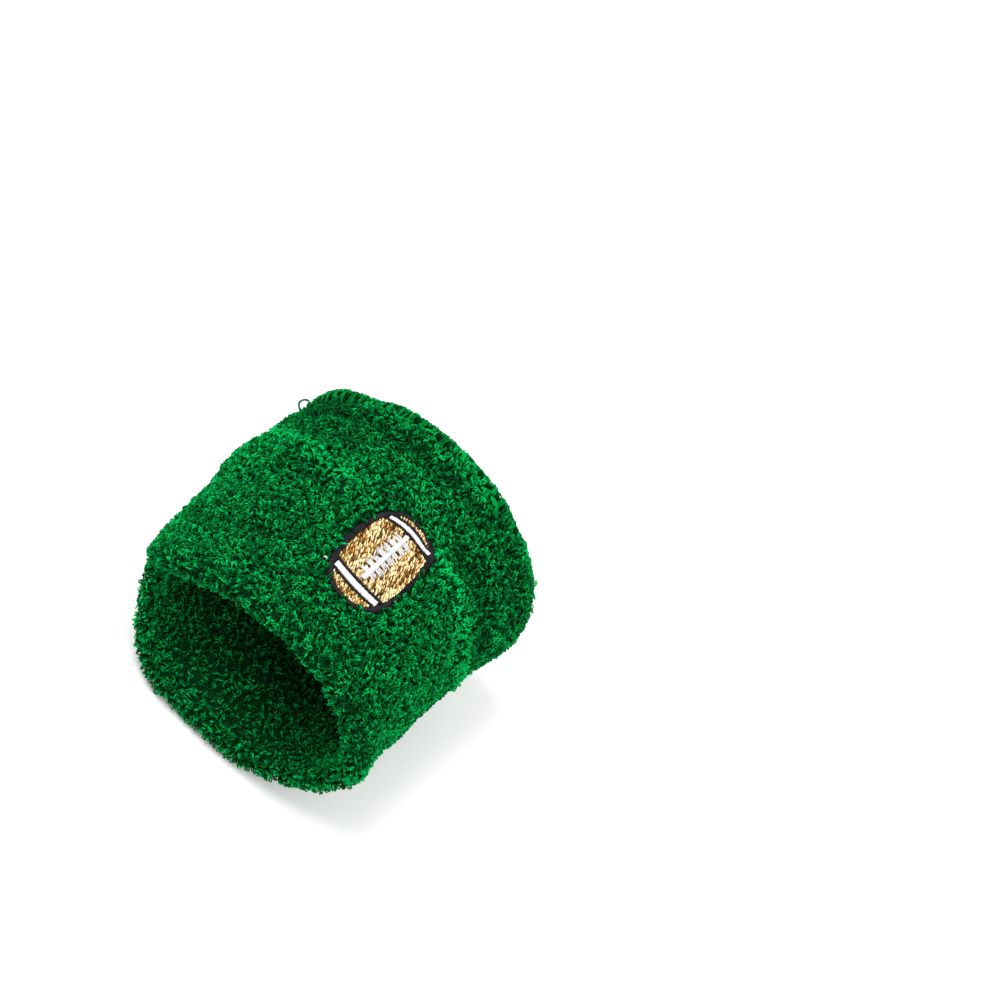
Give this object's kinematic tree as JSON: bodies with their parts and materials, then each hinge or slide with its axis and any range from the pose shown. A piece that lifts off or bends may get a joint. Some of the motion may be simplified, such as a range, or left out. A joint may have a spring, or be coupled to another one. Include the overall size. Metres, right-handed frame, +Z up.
{
  "type": "sweat wristband",
  "caption": "Green terry-cloth sweat wristband: a knitted tube folded double, seamed and hemmed at the hand end, with a small embroidered ball on the back of the wrist.",
  "frame": {"origin": "under the middle of the band, on the surface that it lies on", "axes": "+Y along the arm towards the hand, +Z up from the palm side to the embroidered back-of-wrist side, +X towards the thumb side of a left wrist"},
  "size_m": [0.09, 0.0882, 0.0586],
  "materials": {
    "terry_cloth": "matte loop pile",
    "green_yarn": "matte twisted yarn",
    "elastic_yarn": "covered elastic yarn",
    "gold_thread": "lustrous embroidery thread",
    "black_thread": "lustrous embroidery thread",
    "white_thread": "lustrous embroidery thread",
    "backing_cloth": "non-woven backing"
  },
  "bodies": {
    "root": {"outer_terry_layer": "terry_cloth", "inner_terry_layer": "terry_cloth", "hand_end_hem": "terry_cloth", "linking_seam_thread": "green_yarn", "pulled_yarn_loop": "green_yarn", "elastic_yarn_1": "elastic_yarn", "elastic_yarn_2": "elastic_yarn", "elastic_yarn_3": "elastic_yarn", "elastic_yarn_4": "elastic_yarn", "elastic_yarn_5": "elastic_yarn", "elastic_yarn_6": "elastic_yarn", "bobbin_thread_layer": "white_thread", "embroidery_backing": "backing_cloth", "ball_fill": "gold_thread", "ball_cap_hand_end": "gold_thread", "ball_cap_forearm_end": "gold_thread", "ball_outline": "black_thread", "stripe_hand_end": "white_thread", "stripe_forearm_end": "white_thread", "stripe_line_inner_hand_end": "black_thread", "stripe_line_outer_hand_end": "black_thread", "stripe_line_inner_forearm_end": "black_thread", "stripe_line_outer_forearm_end": "black_thread", "lace_spine": "white_thread", "lace_bar_1": "white_thread", "lace_bar_2": "white_thread", "lace_bar_3": "white_thread", "lace_bar_4": "white_thread", "lace_bar_5": "white_thread", "lace_bar_6": "white_thread", "lace_bar_7": "white_thread"}
  },
  "joints": []
}
